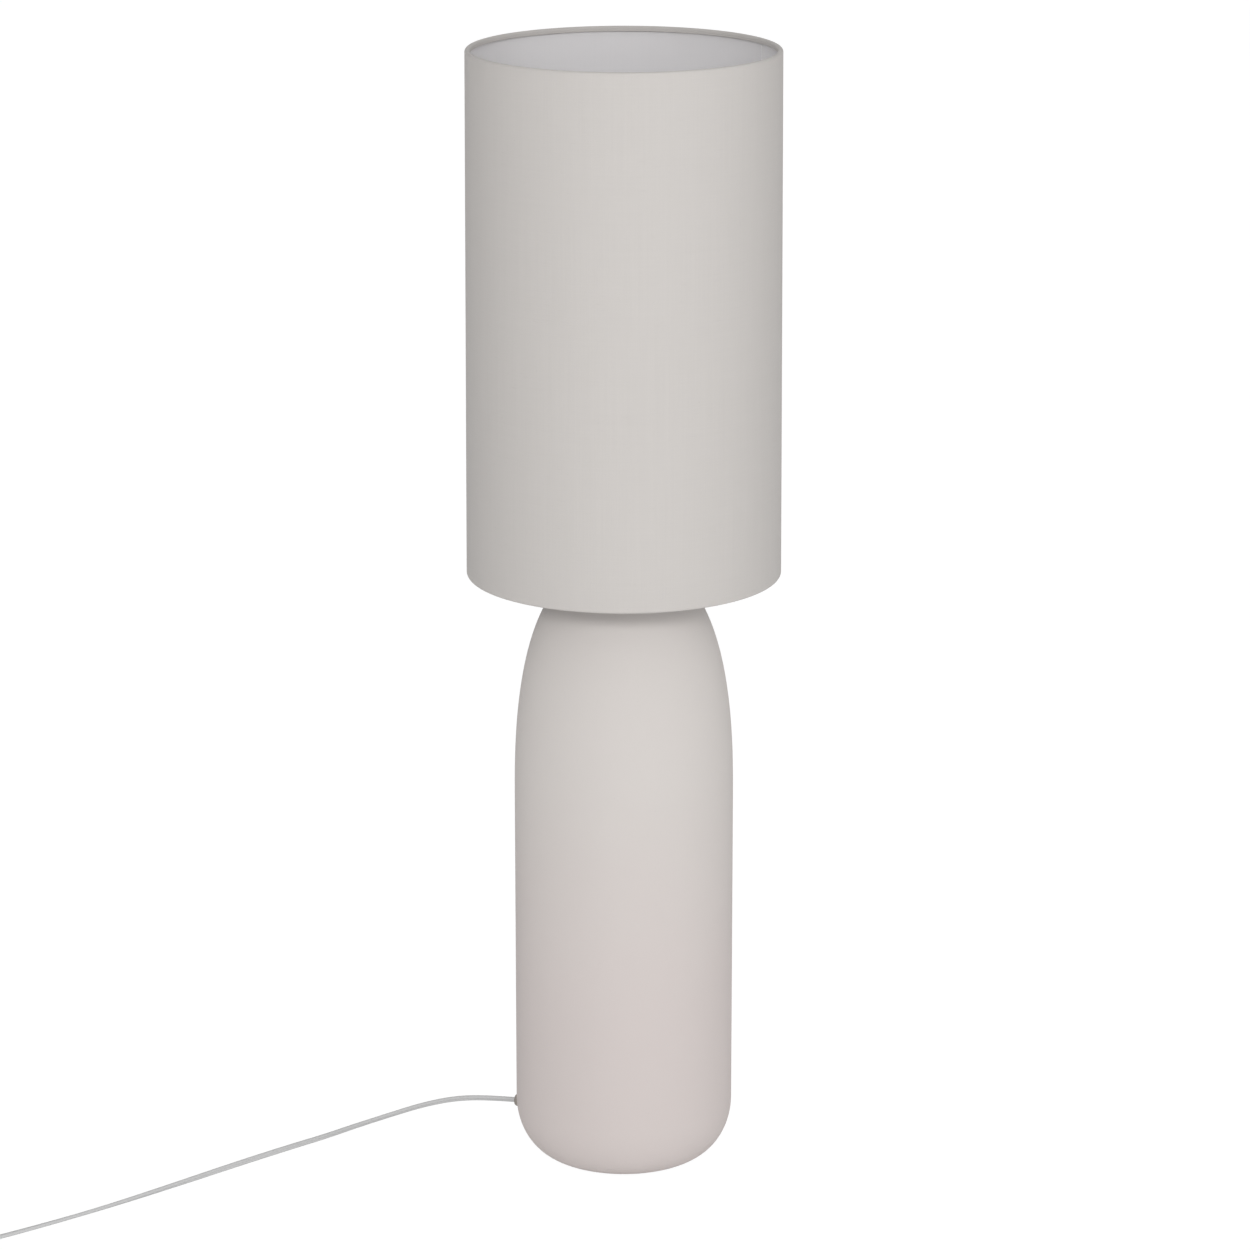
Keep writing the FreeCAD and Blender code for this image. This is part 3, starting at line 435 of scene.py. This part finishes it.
def turned(name, outline, sides=96, solid=False, angle=32):
    """A ring is added at the outline's first point and carried along it by extrusions.

    The outline is radius and height. A solid starts and ends with a face; any other outline closes on
    itself.
    """
    clear_selection()
    radius, height = outline[0]
    bpy.ops.mesh.primitive_circle_add(vertices=sides, radius=radius, location=(0, 0, height),
                                      fill_type="NGON" if solid else "NOTHING")
    piece = bpy.context.active_object
    piece.name = name
    piece.data.name = name
    settle(piece)
    bpy.ops.object.mode_set(mode="EDIT")
    bpy.ops.mesh.select_all(action="SELECT")
    for new_radius, new_height in outline[1:]:
        bpy.ops.mesh.extrude_region_move(TRANSFORM_OT_translate={"value": (0, 0, new_height - height)})
        scale = new_radius / radius
        bpy.ops.transform.resize(value=(scale, scale, 1), center_override=(0, 0, new_height))
        radius, height = new_radius, new_height
    tidy(piece, angle)
    return piece


def arc(radius, height, size, first, last, steps):
    """Outline points on an arc round a centre, by angles in degrees."""
    angles = [math.radians(first + (last - first) * step / steps) for step in range(steps + 1)]
    return [(radius + size * math.cos(a), height + size * math.sin(a)) for a in angles]


def quarter(radius, height, across, up, exponent, steps):
    """Outline points of a quarter superellipse, from its side to its end."""
    points = []
    for step in range(steps + 1):
        angle = math.pi / 2 * step / steps
        side = max(0.0, math.cos(angle)) ** (2 / exponent)
        end = math.sin(angle) ** (2 / exponent)
        points.append((radius + across * side, height + up * end))
    return points


def sector(name, inner, outer, low, high, azimuth, width, lean):
    """A strip of a drum's wall: an upright plane, leaned inwards, spun part of a turn."""
    clear_selection()
    bpy.ops.mesh.primitive_plane_add(size=1, location=((inner + outer) / 2, 0, (low + high) / 2))
    piece = bpy.context.active_object
    piece.name = name
    piece.data.name = name
    piece.scale = (outer - inner, high - low, 1)
    piece.rotation_euler = (math.pi / 2, -lean, 0)
    settle(piece)
    bpy.ops.object.mode_set(mode="EDIT")
    bpy.ops.mesh.select_all(action="SELECT")
    angle = width / outer
    bpy.ops.mesh.spin(steps=10, angle=angle, center=(0, 0, 0), axis=(0, 0, 1))
    bpy.ops.object.mode_set(mode="OBJECT")
    corners = piece.data.vertices[:]
    mean = sum((v.co for v in corners), Vector()) / len(corners)
    piece.rotation_euler = (0, 0, math.radians(azimuth) - math.atan2(mean.y, mean.x))
    settle(piece)
    tidy(piece)
    return piece


def rod(name, points, radius, sides=3, per_point=10):
    """A round rod along a smooth route, made a mesh."""
    line = route_curve(name, points, per_point)
    line.data.bevel_depth = radius
    line.data.bevel_resolution = sides
    line.data.use_fill_caps = True
    return meshed(line)


def route_curve(name, points, per_point, tilts=None):
    """A smooth line whose control points are the route's points."""
    clear_selection()
    data = bpy.data.curves.new(name, "CURVE")
    data.dimensions = "3D"
    spline = data.splines.new("NURBS")
    spline.points.add(len(points) - 1)
    for index, place in enumerate(points):
        spline.points[index].co = (*place, 1)
        if tilts:
            spline.points[index].tilt = tilts[index]
    spline.order_u = 3
    spline.use_endpoint_u = True
    spline.resolution_u = per_point
    line = bpy.data.objects.new(name, data)
    bpy.context.scene.collection.objects.link(line)
    return line


def meshed(line):
    """A curve turned into its mesh."""
    take(line)
    bpy.ops.object.convert(target="MESH")
    piece = bpy.context.active_object
    tidy(piece, 40)
    return piece


def joined(name, *pieces):
    """One piece from several."""
    take(*pieces)
    bpy.ops.object.join()
    piece = bpy.context.active_object
    piece.name = name
    piece.data.name = name
    return piece


def dress(piece, body, slot, *nodes):
    """Gives a piece its body and its finish, and hides the nodes that it stands for."""
    piece.data.materials.clear()
    piece.data.materials.append(bpy.data.materials[slot])
    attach(piece, body)
    if nodes:
        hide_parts(*nodes)


# ---- operators ----


class LampFinish(bpy.types.Operator):
    """Builds every finish and puts it on the sub-parts that keep their own shape"""

    bl_idname = "floor_lamp.finishes"
    bl_label = "Finishes"

    def execute(self, context):
        made = finishes(context.scene.lamp_colours)
        for entry in frame["record"]["subparts"]:
            node = frame["nodes"][entry["node"]]
            node.data.materials.clear()
            node.data.materials.append(made[entry["material_slot"]])
        return {"FINISHED"}


class LampBody(bpy.types.Operator):
    """Turns the cast body: soft foot, straight wall and domed shoulder, with its hollow"""

    bl_idname = "floor_lamp.body"
    bl_label = "Body"

    def execute(self, context):
        s = context.scene.lamp_sizes
        wall = 0.008
        foot, foot_middle, foot_rise = 0.0595, 0.051, 0.050
        seat, inner_seat, hole, recess = 0.022, 0.018, 0.00515, 0.0523
        shoulder_power = 2.4
        inside = s.body_radius - wall
        underside = [(recess, 0.0030), (recess, 0.0013), (0.0527, 0.0010), (foot, 0.0010)]
        foot_curve = quarter(foot, foot_middle, s.body_radius - foot, -foot_rise, 2, 22)[::-1]
        straight = s.shoulder_start - foot_middle
        wall_line = [(s.body_radius, foot_middle + straight * k / 8) for k in range(1, 8)]
        rise = s.body_height - s.shoulder_start
        shoulder = quarter(seat, s.shoulder_start, s.body_radius - seat, rise, shoulder_power, 40)
        top = [(hole, s.body_height), (hole, s.body_height - wall), (inner_seat, s.body_height - wall)]
        inner_shoulder = quarter(inner_seat, s.shoulder_start, inside - inner_seat, rise - wall,
                                 shoulder_power, 14)[::-1]
        inner_foot = quarter(foot, foot_middle, inside - foot, 0.011 - foot_middle, 2, 10)
        middle = [(0.034, 0.011), (0.034, 0.021), (hole, 0.021), (hole, 0.013), (0.026, 0.013), (0.026, 0.003),
                  (recess, 0.003)]
        outline = underside + foot_curve[1:] + wall_line + shoulder
        outline += top + inner_shoulder[1:] + inner_foot + middle
        body = turned("cast_body", outline, 160)
        dress(body, "lamp", "body_ceramic", "body_shell")
        return {"FINISHED"}


class LampBush(bpy.types.Operator):
    """Turns the cord bush and sets it in the wall"""

    bl_idname = "floor_lamp.bush"
    bl_label = "Cord bush"

    def execute(self, context):
        bore, end, seat, shoulder, face = 0.00275, 0.0752, 0.0935, 0.0962, 0.1011
        height, azimuth = 0.037, 167.5
        outline = [(bore, end), (0.0040, end), (0.0040, seat), (0.0056, seat), (0.0059, seat + 0.0003)]
        outline += quarter(0.0035, shoulder, 0.0024, face - shoulder, 2, 9)
        outline += [(0.0031, face), (bore, face - 0.0006), (bore, end)]
        bush = turned("cord_bush", outline, 48)
        bush.rotation_euler = (0, math.pi / 2, math.radians(azimuth))
        bush.location = (0, 0, height)
        settle(bush)
        dress(bush, "lamp", "bush_plastic", "gland_bush")
        return {"FINISHED"}


class LampShade(bpy.types.Operator):
    """Turns the cloth drum with its rolled hems, its lining and their overlapped seams"""

    bl_idname = "floor_lamp.shade"
    bl_label = "Shade"

    def hem(self, s, way):
        """The hem's outline from the drum's outside over the roll to its inside. way is 1 at the top."""
        thick = 0.0007
        roll = s.rim_width / 2
        edge = s.shade_high if way > 0 else s.shade_low
        middle = edge - way * roll
        leg = s.shade_radius - s.rim_width
        toe = middle - way * 0.0016
        outer = arc(s.shade_radius - roll, middle, roll, 0, way * 180, 14)
        back = arc(s.shade_radius - roll, middle, roll - thick, way * 180, 0, 10)
        tucked = s.shade_radius - 0.0017
        turn_in = [(leg + 0.0001, toe - way * thick * 0.7), (leg + 0.0004, toe - way * thick),
                   (tucked, toe - way * thick), (tucked, toe), (leg + thick, toe)]
        return outer + turn_in + back

    def tapered(self, s, outline):
        """The outline with the drum's slight taper, narrower towards the top."""
        tall = s.shade_high - s.shade_low
        return [(r - s.shade_taper * (z - s.shade_low) / tall, z) for r, z in outline]

    def execute(self, context):
        s = context.scene.lamp_sizes
        seam, lap_width = 30.0, 0.012
        lean = math.atan(s.shade_taper / (s.shade_high - s.shade_low))
        middle = s.shade_radius - s.shade_taper / 2
        top = self.hem(s, 1)
        bottom = self.hem(s, -1)[::-1]
        levels = [top[-1][1] + (bottom[0][1] - top[-1][1]) * k / 12 for k in range(1, 12)]
        inner_wall = [(top[-1][0], z) for z in levels]
        outer_wall = [(s.shade_radius, z) for z in reversed(levels)]
        outline = self.tapered(s, top + inner_wall + bottom + outer_wall + top[:1])
        drum = turned("cloth_drum", outline, 288, angle=50)
        low, high = s.shade_low + s.rim_width / 2, s.shade_high - s.rim_width / 2
        lap = sector("cloth_lap", middle - 0.0003, middle + 0.00045, low, high, seam, lap_width, lean)
        cloth = joined("shade_cloth_drum", lap, drum)
        dress(cloth, "shade", "shade_cloth", "shade_cover")
        outside, inside = s.shade_radius - 0.0010, s.shade_radius - 0.0014
        outline = [(outside, low), (outside, high), (inside, high), (inside, low), (outside, low)]
        sheet = turned("lining_drum", self.tapered(s, outline), 288)
        inner_lap = sector("lining_lap", middle - 0.0019, middle - 0.0012, low + 0.004, high - 0.004,
                           seam, lap_width, lean)
        lining = joined("shade_lining_drum", inner_lap, sheet)
        dress(lining, "shade", "shade_lining", "shade_liner")
        wire = arc(0.1348, s.shade_high - 0.00265, 0.0010, 0, 360, 12)
        ring = turned("shade_top_ring", self.tapered(s, wire), 192)
        dress(ring, "shade", "frame_white", "top_wire")
        return {"FINISHED"}


class LampFrame(bpy.types.Operator):
    """Makes the shade's fitter ring with its three welded arms"""

    bl_idname = "floor_lamp.frame"
    bl_label = "Shade frame"

    def execute(self, context):
        level, low = 0.5777, 0.5416
        half = 0.0010
        under, over, corner = level - half, level + half, 0.0003
        washer = [(0.0210, under + corner), (0.0213, under), (0.0307, under), (0.0310, under + corner),
                  (0.0310, over - corner), (0.0307, over), (0.0213, over), (0.0210, over - corner),
                  (0.0210, under + corner)]
        bead = [(0.0008, -0.0024), (0.0021, -0.0018), (0.0026, 0), (0.0021, 0.0018), (0.0008, 0.0024)]
        side = [(0.0290, level), (0.0600, level), (0.0880, level), (0.0957, level - 0.0004),
                (0.1010, level - 0.0068), (0.1195, low + 0.0063), (0.1246, low + 0.0002), (0.1300, low),
                (0.1335, low)]
        parts = [turned("fitter_ring", washer, 96)]
        for azimuth in (90, 210, 330):
            way = (math.cos(math.radians(azimuth)), math.sin(math.radians(azimuth)))
            arm = rod("frame_arm", [(r * way[0], r * way[1], z) for r, z in side], 0.00175, 4)
            weld = turned("frame_weld", bead, 14, solid=True)
            weld.scale = (1.5, 1, 0.72)
            weld.rotation_euler = (0, 0, math.radians(azimuth))
            weld.location = (0.0308 * way[0], 0.0308 * way[1], level)
            settle(weld)
            parts += [arm, weld]
        frame_piece = joined("shade_frame", *reversed(parts))
        dress(frame_piece, "shade", "frame_white", "spider")
        return {"FINISHED"}


class LampHolder(bpy.types.Operator):
    """Turns the lampholder's lower cap and its threaded barrel"""

    bl_idname = "floor_lamp.holder"
    bl_label = "Lampholder"

    def execute(self, context):
        base = context.scene.lamp_sizes.holder_base
        cap = [(0.00515, 0), (0.0076, 0), (0.0080, 0.0004), (0.0080, 0.0050), (0.0200, 0.0126),
               (0.0206, 0.0134)]
        for step in range(4):
            level = 0.0150 + step * 0.0019
            cap += [(0.0206, level), (0.0202, level + 0.0002), (0.0202, level + 0.0006),
                    (0.0206, level + 0.0008)]
        cap += [(0.0206, 0.0236), (0.0203, 0.0240), (0.0188, 0.0240), (0.0188, 0.0148), (0.0080, 0.0068),
                (0.00515, 0.0068), (0.00515, 0)]
        lower = turned("holder_lower", [(r, base + z) for r, z in cap], 96)
        dress(lower, "lamp", "holder_plastic", "holder_cap")
        shell = [(0.0168, 0.0160), (0.0186, 0.0160), (0.0186, 0.0241), (0.0194, 0.0241), (0.0196, 0.0244)]
        for turn in range(11):
            level = 0.0262 + turn * 0.0028
            shell += [(0.0196, level), (0.01925, level + 0.0005), (0.01925, level + 0.0014),
                      (0.0196, level + 0.0019)]
        shell += [(0.0196, 0.0600), (0.0192, 0.0606), (0.0186, 0.0610), (0.0156, 0.0610), (0.0152, 0.0606),
                  (0.0152, 0.0595), (0.0178, 0.0595), (0.0178, 0.0290), (0.0168, 0.0290), (0.0168, 0.0160)]
        barrel = turned("holder_barrel", [(r, base + z) for r, z in shell], 96)
        dress(barrel, "lamp", "holder_plastic", "holder_shell")
        return {"FINISHED"}


class LampBulb(bpy.types.Operator):
    """Turns the bulb's globe, neck and screw cap"""

    bl_idname = "floor_lamp.bulb"
    bl_label = "Bulb"

    def execute(self, context):
        collar, centre, radius = 0.6467, 0.65694, 0.030
        start = -math.degrees(math.asin((centre - collar) / radius))
        dome = arc(0, centre, radius, start, 88, 24)
        globe = turned("bulb_globe", dome, 96, solid=True)
        dress(globe, "lamp", "bulb_opal", "bulb_dome")
        neck = [(0.0131, 0.6092), (0.0134, 0.6100)]
        for step in range(1, 15):
            share = step / 15
            neck.append((0.0134 + 0.0146 * share ** 1.75, 0.6100 + 0.0352 * share))
        neck += [(0.0282, 0.6458), (0.0282, 0.6463), (0.0279, 0.6467)]
        housing = turned("bulb_neck", neck, 96, solid=True)
        dress(housing, "lamp", "bulb_housing_white", "bulb_housing")
        thread = [(0.0120, 0.5847), (0.0124, 0.5852)]
        for turn in range(6):
            level = 0.5858 + turn * 0.0033
            thread += [(0.0124, level), (0.0129, level + 0.0006), (0.0131, level + 0.0013),
                       (0.0129, level + 0.0020), (0.0124, level + 0.0026)]
        thread += [(0.0129, 0.6068), (0.0131, 0.6076), (0.0131, 0.6092)]
        cap = turned("bulb_thread", thread, 72, solid=True, angle=60)
        dress(cap, "lamp", "cap_nickel", "bulb_cap")
        return {"FINISHED"}


class LampCord(bpy.types.Operator):
    """Lays the flat cord from the bush through the foot switch and the put-away coil to the plug"""

    bl_idname = "floor_lamp.cord"
    bl_label = "Cord"

    def route(self):
        """The route's points, and how far the flat cord has twisted at each, in degrees."""
        run = [(-0.09671, 0.02144, 0.037, 62), (-0.11819, 0.0262, 0.037, 62), (-0.15, 0.034, 0.034, 66),
               (-0.182, 0.042, 0.0245, 60), (-0.215, 0.0435, 0.013, 58), (-0.245, 0.033, 0.0068, 66),
               (-0.272, 0.015, 0.0038, 78), (-0.301, -0.006, 0.00265, 90), (-0.344, -0.044, 0.00265, 92),
               (-0.391, -0.0875, 0.00265, 68), (-0.437, -0.129, 0.00265, 40), (-0.476, -0.1615, 0.00265, 26),
               (-0.514, -0.1905, 0.00265, 14), (-0.544, -0.212, 0.00265, 6), (-0.567, -0.222, 0.004, 0),
               (-0.582, -0.224, 0.007, 0), (-0.596, -0.224, 0.007, 0)]
        link = [(-0.629, -0.2239, 0.007), (-0.662, -0.224, 0.007), (-0.678, -0.224, 0.007),
                (-0.69389, -0.21555, 0.0058), (-0.70555, -0.19689, 0.0044), (-0.70861, -0.17511, 0.0037),
                (-0.70861, -0.16111, 0.0037)]
        link = [(*place, 90 * k / 6 if k > 1 else 0) for k, place in enumerate(link)]
        middle = (-0.66811, -0.14991)
        outer, pitch, turns, per_turn = 0.0405, 0.0057, 7.0, 16
        spread = 1 / math.cos(math.pi / per_turn)
        coil = []
        for step in range(int(turns * per_turn) + 1):
            done = step / per_turn
            radius = (outer - pitch * min(done, turns - done)) * spread
            climb = min(1.0, max(0.0, (done - 3.25) * 2))
            height = 0.0037 + pitch * (1 - math.cos(math.pi * climb)) / 2
            angle = math.pi - math.tau * done
            coil.append((middle[0] + radius * math.cos(angle), middle[1] + radius * math.sin(angle),
                         height, 90))
        tail = [(-0.70861, -0.13871, 0.0094, 60), (-0.70861, -0.13071, 0.0094, 30),
                (-0.70447, -0.11525, 0.0069, 0), (-0.69747, -0.10313, 0.0069, 0)]
        return run + link + coil + tail

    def section(self, width, thickness):
        """The flat cord's outline: two round cores side by side with a shallow hollow between them."""
        core = thickness / 2
        offset = width / 2 - core
        clear_selection()
        data = bpy.data.curves.new("cord_section", "CURVE")
        data.dimensions = "2D"
        spline = data.splines.new("POLY")
        points = []
        for side in (1, -1):
            for step in range(9):
                angle = math.radians(-90 + 180 * step / 8)
                points.append((side * (offset + core * math.cos(angle)), side * core * math.sin(angle)))
            for share in (0.6, 0.2):
                points.append((side * offset * share, side * (core - 0.00028 * (1 - share))))
            for share in (-0.2, -0.6):
                points.append((side * offset * share, side * (core - 0.00028 * (1 + share))))
        spline.points.add(len(points) - 1)
        for index, (x, y) in enumerate(points):
            spline.points[index].co = (x, y, 0, 1)
        spline.use_cyclic_u = True
        section = bpy.data.objects.new("cord_section", data)
        bpy.context.scene.collection.objects.link(section)
        return section

    def execute(self, context):
        s = context.scene.lamp_sizes
        route = self.route()
        line = route_curve("mains_cord", [p[:3] for p in route], 8, [math.radians(p[3]) for p in route])
        line.data.twist_mode = "Z_UP"
        bpy.context.view_layer.update()
        smooth = bpy.data.meshes.new_from_object(line)
        bpy.data.meshes.remove(smooth)
        section = self.section(s.cord_width, s.cord_thickness)
        line.data.bevel_mode = "OBJECT"
        line.data.bevel_object = section
        line.data.use_fill_caps = True
        cord = meshed(line)
        bpy.data.objects.remove(section)
        cord.name = "mains_cord"
        dress(cord, "lamp", "cord_jacket", "cord_run", "cord_link", "cord_coil", "cord_tail")
        return {"FINISHED"}


class LampStage(bpy.types.Operator):
    """Sets the pale floor, the even studio light and the camera"""

    bl_idname = "floor_lamp.stage"
    bl_label = "Stage"

    # name, place, width, height and share of the key's power of each softbox
    softboxes = (("front_left", (-0.95, -3.9, 2.15), 2.4, 0.5, 1.0),
                 ("front_right", (0.75, -3.9, 2.15), 2.4, 0.5, 0.70),
                 ("side_right", (3.2, -1.6, 1.4), 1.6, 1.6, 0.44),
                 ("low_front", (0, -3.9, 0.35), 1.0, 0.5, 0.52))
    aim = Vector((0, 0, 0.5))
    floor_grey = (0.86, 0.86, 0.86, 1)
    white = (1, 1, 1, 1)
    floor_glow = 1.095
    glow_share = 0.88

    def seen(self, nodes):
        """1 for rays that show the background: straight, mirrored or through glass."""
        rays = [nodes.add("ShaderNodeLightPath", (), (), output) for output in
                ("Is Camera Ray", "Is Glossy Ray", "Is Transmission Ray")]
        return nodes.math("MAXIMUM", nodes.math("MAXIMUM", rays[0], rays[1]), rays[2])

    def execute(self, context):
        studio = context.scene.lamp_studio
        scene = context.scene
        clear_selection()
        bpy.ops.mesh.primitive_plane_add(size=60, location=(0, 0, 0))
        floor = bpy.context.active_object
        floor.name = "studio_floor"
        made, n = material("studio_floor")
        diffuse = n.add("ShaderNodeBsdfDiffuse", (), {"Color": self.floor_grey})
        glow = n.add("ShaderNodeEmission", (), {"Color": self.white, "Strength": self.floor_glow})
        mixed = n.add("ShaderNodeMixShader", (), {0: self.seen(n) * self.glow_share, 1: diffuse, 2: glow})
        n.add("ShaderNodeOutputMaterial", (), {"Surface": mixed})
        floor.data.materials.append(made)

        world = bpy.data.worlds.new("studio")
        scene.world = world
        world.use_nodes = True
        w = Nodes(world.node_tree)
        strength = studio.ambient + self.seen(w) * (1 - studio.ambient)
        sky = w.add("ShaderNodeBackground", (), {"Color": self.white, "Strength": strength})
        w.add("ShaderNodeOutputWorld", (), {"Surface": sky})

        for name, place, wide, high, share in self.softboxes:
            clear_selection()
            bpy.ops.object.light_add(type="AREA", location=place)
            box = bpy.context.active_object
            box.name = name
            box.data.shape = "RECTANGLE"
            box.data.size = wide
            box.data.size_y = high
            box.data.energy = studio.key_power * share
            box.rotation_euler = (self.aim - box.location).to_track_quat("-Z", "Y").to_euler()

        bpy.ops.object.camera_add(location=(0, -3.788, 1.565), rotation=(studio.tilt, 0, 0))
        camera = bpy.context.active_object
        camera.name = "camera"
        camera.data.sensor_width = 36
        camera.data.lens = studio.focal
        camera.data.shift_x = 0.0009
        camera.data.shift_y = studio.shift
        camera.data.clip_end = 100
        scene.camera = camera
        scene.view_settings.view_transform = "Standard"
        return {"FINISHED"}


OPERATORS = (LampFinish, LampStage, LampCord, LampBody, LampBush, LampShade, LampFrame, LampHolder, LampBulb)


class LampPanel(bpy.types.Panel):
    """Lists the lamp's pieces in the sidebar"""

    bl_idname = "VIEW3D_PT_floor_lamp"
    bl_label = "Floor lamp"
    bl_space_type = "VIEW_3D"
    bl_region_type = "UI"
    bl_category = "Lamp"

    def draw(self, context):
        column = self.layout.column(align=True)
        for piece in OPERATORS:
            column.operator(piece.bl_idname)
        for group in (context.scene.lamp_sizes, context.scene.lamp_colours, context.scene.lamp_studio):
            box = self.layout.box()
            for key in group.__annotations__:
                box.prop(group, key)


CLASSES = (LampSizes, LampColours, LampStudio, *OPERATORS, LampPanel)


def register():
    for kind in CLASSES:
        bpy.utils.register_class(kind)
    bpy.types.Scene.lamp_sizes = PointerProperty(type=LampSizes)
    bpy.types.Scene.lamp_colours = PointerProperty(type=LampColours)
    bpy.types.Scene.lamp_studio = PointerProperty(type=LampStudio)


def unregister():
    del bpy.types.Scene.lamp_studio
    del bpy.types.Scene.lamp_colours
    del bpy.types.Scene.lamp_sizes
    for kind in reversed(CLASSES):
        bpy.utils.unregister_class(kind)


def main():
    """Makes every piece in order."""
    register()
    bpy.ops.floor_lamp.finishes()
    bpy.ops.floor_lamp.stage()
    bpy.ops.floor_lamp.cord()
    bpy.ops.floor_lamp.body()
    bpy.ops.floor_lamp.bush()
    bpy.ops.floor_lamp.shade()
    bpy.ops.floor_lamp.frame()
    bpy.ops.floor_lamp.holder()
    bpy.ops.floor_lamp.bulb()
    clear_selection()
    bpy.context.view_layer.update()


if __name__ == "__main__":
    main()
